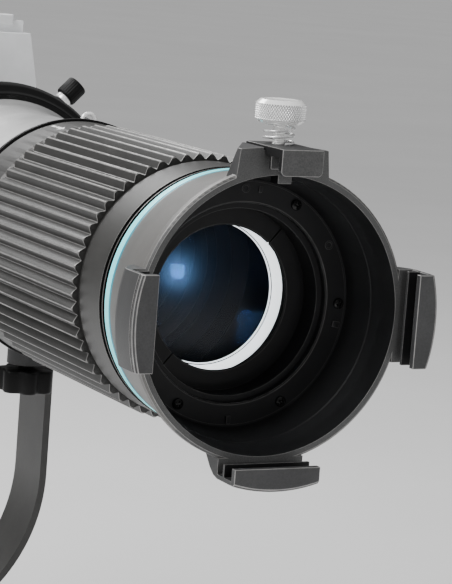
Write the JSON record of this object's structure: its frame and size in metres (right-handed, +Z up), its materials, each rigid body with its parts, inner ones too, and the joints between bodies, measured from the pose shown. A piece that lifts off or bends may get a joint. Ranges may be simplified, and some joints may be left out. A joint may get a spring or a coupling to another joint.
{
  "type": "spotlight projection lens",
  "caption": "Focusing projection lens attachment for a spotlight, with a ribbed focus sleeve, accessory claws, spring clip, framing shutters and a tilting yoke",
  "frame": {"origin": "centre of the accessory slot, where the optical axis meets the rim's front face", "axes": "+Y along the optical axis from the front to the lamp, +Z up, +X the tilt axis"},
  "size_m": [0.26, 0.507, 0.435],
  "materials": {
    "cast_black": "matte",
    "sleeve_black": "satin",
    "teal_accent": "satin",
    "gasket_rubber": "matte",
    "inner_black": "satin",
    "screw_black": "gloss",
    "lens_glass": "polished",
    "bright_alloy": "satin",
    "barrel_grey": "satin",
    "flange_gloss": "gloss",
    "chrome_trim": "polished",
    "spring_steel": "satin",
    "steel_hardware": "satin",
    "pin_brass": "satin",
    "blade_steel": "satin",
    "knob_plastic": "matte",
    "housing_black": "matte",
    "yoke_black": "satin"
  },
  "bodies": {
    "yoke": {"yoke_frame": "yoke_black", "stand_socket": "yoke_black", "yoke_bolt": "steel_hardware", "pivot_washers": "steel_hardware"},
    "projector": {"front_holder": "cast_black", "claw_plates": "cast_black", "screw_flange": "inner_black", "flange_screws": "screw_black", "lens_cell": "inner_black", "lens_retaining_ring": "inner_black", "front_lens": "lens_glass", "seat_ring": "bright_alloy", "accent_ring": "teal_accent", "gasket": "gasket_rubber", "collar_band": "sleeve_black", "inner_barrel": "inner_black", "rear_barrel": "barrel_grey", "stop_ring": "flange_gloss", "barrel_flange": "flange_gloss", "lock_boss": "housing_black", "bail_bracket": "steel_hardware", "gate_front_plate": "housing_black", "gate_shell": "housing_black", "gate_boss": "housing_black", "slot_tower": "bright_alloy", "shutter_front_plate": "housing_black", "shutter_housing": "housing_black", "shutter_separators": "housing_black", "rear_housing": "housing_black", "condenser_cell": "inner_black", "condenser_lens": "lens_glass", "lamp_plate": "bright_alloy", "plate_screws": "steel_hardware", "lamp_bayonet": "bright_alloy", "pivot_bolt": "steel_hardware"},
    "focus": {"focus_sleeve": "sleeve_black"},
    "carriage": {"lens_carriage": "inner_black", "rear_lens": "lens_glass", "rear_lens_ring": "inner_black", "cam_pins": "pin_brass"},
    "clip": {"retaining_clip": "cast_black", "clip_spring": "spring_steel"},
    "thumb_screw_body": {"thumb_screw": "chrome_trim"},
    "lobed_knob_body": {"lobed_knob": "knob_plastic"},
    "gate_knob_body": {"gate_knob": "knob_plastic", "gate_knob_collar": "chrome_trim"},
    "bail": {"wire_bail": "chrome_trim"},
    "gobo": {"gobo_holder": "bright_alloy"},
    "blade_top": {"shutter_top": "blade_steel", "shutter_grip_top": "knob_plastic"},
    "blade_right": {"shutter_right": "blade_steel", "shutter_grip_right": "knob_plastic"},
    "blade_bottom": {"shutter_bottom": "blade_steel", "shutter_grip_bottom": "knob_plastic"},
    "blade_left": {"shutter_left": "blade_steel", "shutter_grip_left": "knob_plastic"},
    "tilt_knob_body": {"tilt_knob": "knob_plastic"},
    "socket_screw_body": {"socket_screw": "knob_plastic"}
  },
  "joints": [
    {"name": "tilt", "type": "hinge", "parent": "yoke", "child": "projector", "pos_m": [0, 0.434, 0], "axis": [1, 0, 0], "range_deg": [-60, 45]},
    {"name": "focus_turn", "type": "hinge", "parent": "projector", "child": "focus", "pos_m": [0, 0.132, 0], "axis": [0, 1, 0], "range_deg": [-60, 60]},
    {"name": "carriage_slide", "type": "slide", "parent": "projector", "child": "carriage", "axis": [0, 1, 0], "range_m": [-0.012, 0.012]},
    {"name": "clip_lift", "type": "slide", "parent": "projector", "child": "clip", "axis": [0, 0, 1], "range_m": [0, 0.005], "stiffness_N_per_m": 600, "springref_m": -0.003, "deforming": ["clip_spring"]},
    {"name": "thumb_screw_turn", "type": "hinge", "parent": "projector", "child": "thumb_screw_body", "pos_m": [0, 0.0065, 0.076], "axis": [0, 0, 1], "range_deg": [-360, 360]},
    {"name": "lobed_knob_turn", "type": "hinge", "parent": "projector", "child": "lobed_knob_body", "pos_m": [0, 0.243, -0.07], "axis": [0, 0, 1], "range_deg": [-180, 180]},
    {"name": "gate_knob_turn", "type": "hinge", "parent": "projector", "child": "gate_knob_body", "pos_m": [0.05445, 0.3405, 0.05445], "axis": [0.7071, 0, 0.7071], "range_deg": [-180, 180]},
    {"name": "bail_flip", "type": "hinge", "parent": "projector", "child": "bail", "pos_m": [0.02302, 0.24, 0.05171], "axis": [-0.9135, 0, 0.4067], "range_deg": [-75, 75]},
    {"name": "gobo_lift", "type": "slide", "parent": "projector", "child": "gobo", "axis": [0, 0, 1], "range_m": [0, 0.1]},
    {"name": "shutter_top_slide", "type": "slide", "parent": "projector", "child": "blade_top", "axis": [0, 0, -1], "range_m": [0, 0.034]},
    {"name": "shutter_right_slide", "type": "slide", "parent": "projector", "child": "blade_right", "axis": [-1, 0, 0], "range_m": [0, 0.034]},
    {"name": "shutter_bottom_slide", "type": "slide", "parent": "projector", "child": "blade_bottom", "axis": [0, 0, 1], "range_m": [0, 0.034]},
    {"name": "shutter_left_slide", "type": "slide", "parent": "projector", "child": "blade_left", "axis": [1, 0, 0], "range_m": [0, 0.034]},
    {"name": "tilt_knob_turn", "type": "hinge", "parent": "projector", "child": "tilt_knob_body", "pos_m": [0.1, 0.434, 0], "axis": [1, 0, 0], "range_deg": [-180, 180]},
    {"name": "socket_screw_turn", "type": "hinge", "parent": "yoke", "child": "socket_screw_body", "pos_m": [0, 0.405, -0.287], "axis": [0, 1, 0], "range_deg": [-180, 180]}
  ],
  "couplings": [
    {"joint": "carriage_slide", "follows": "focus_turn", "m_per_rad": 0.011458}
  ]
}
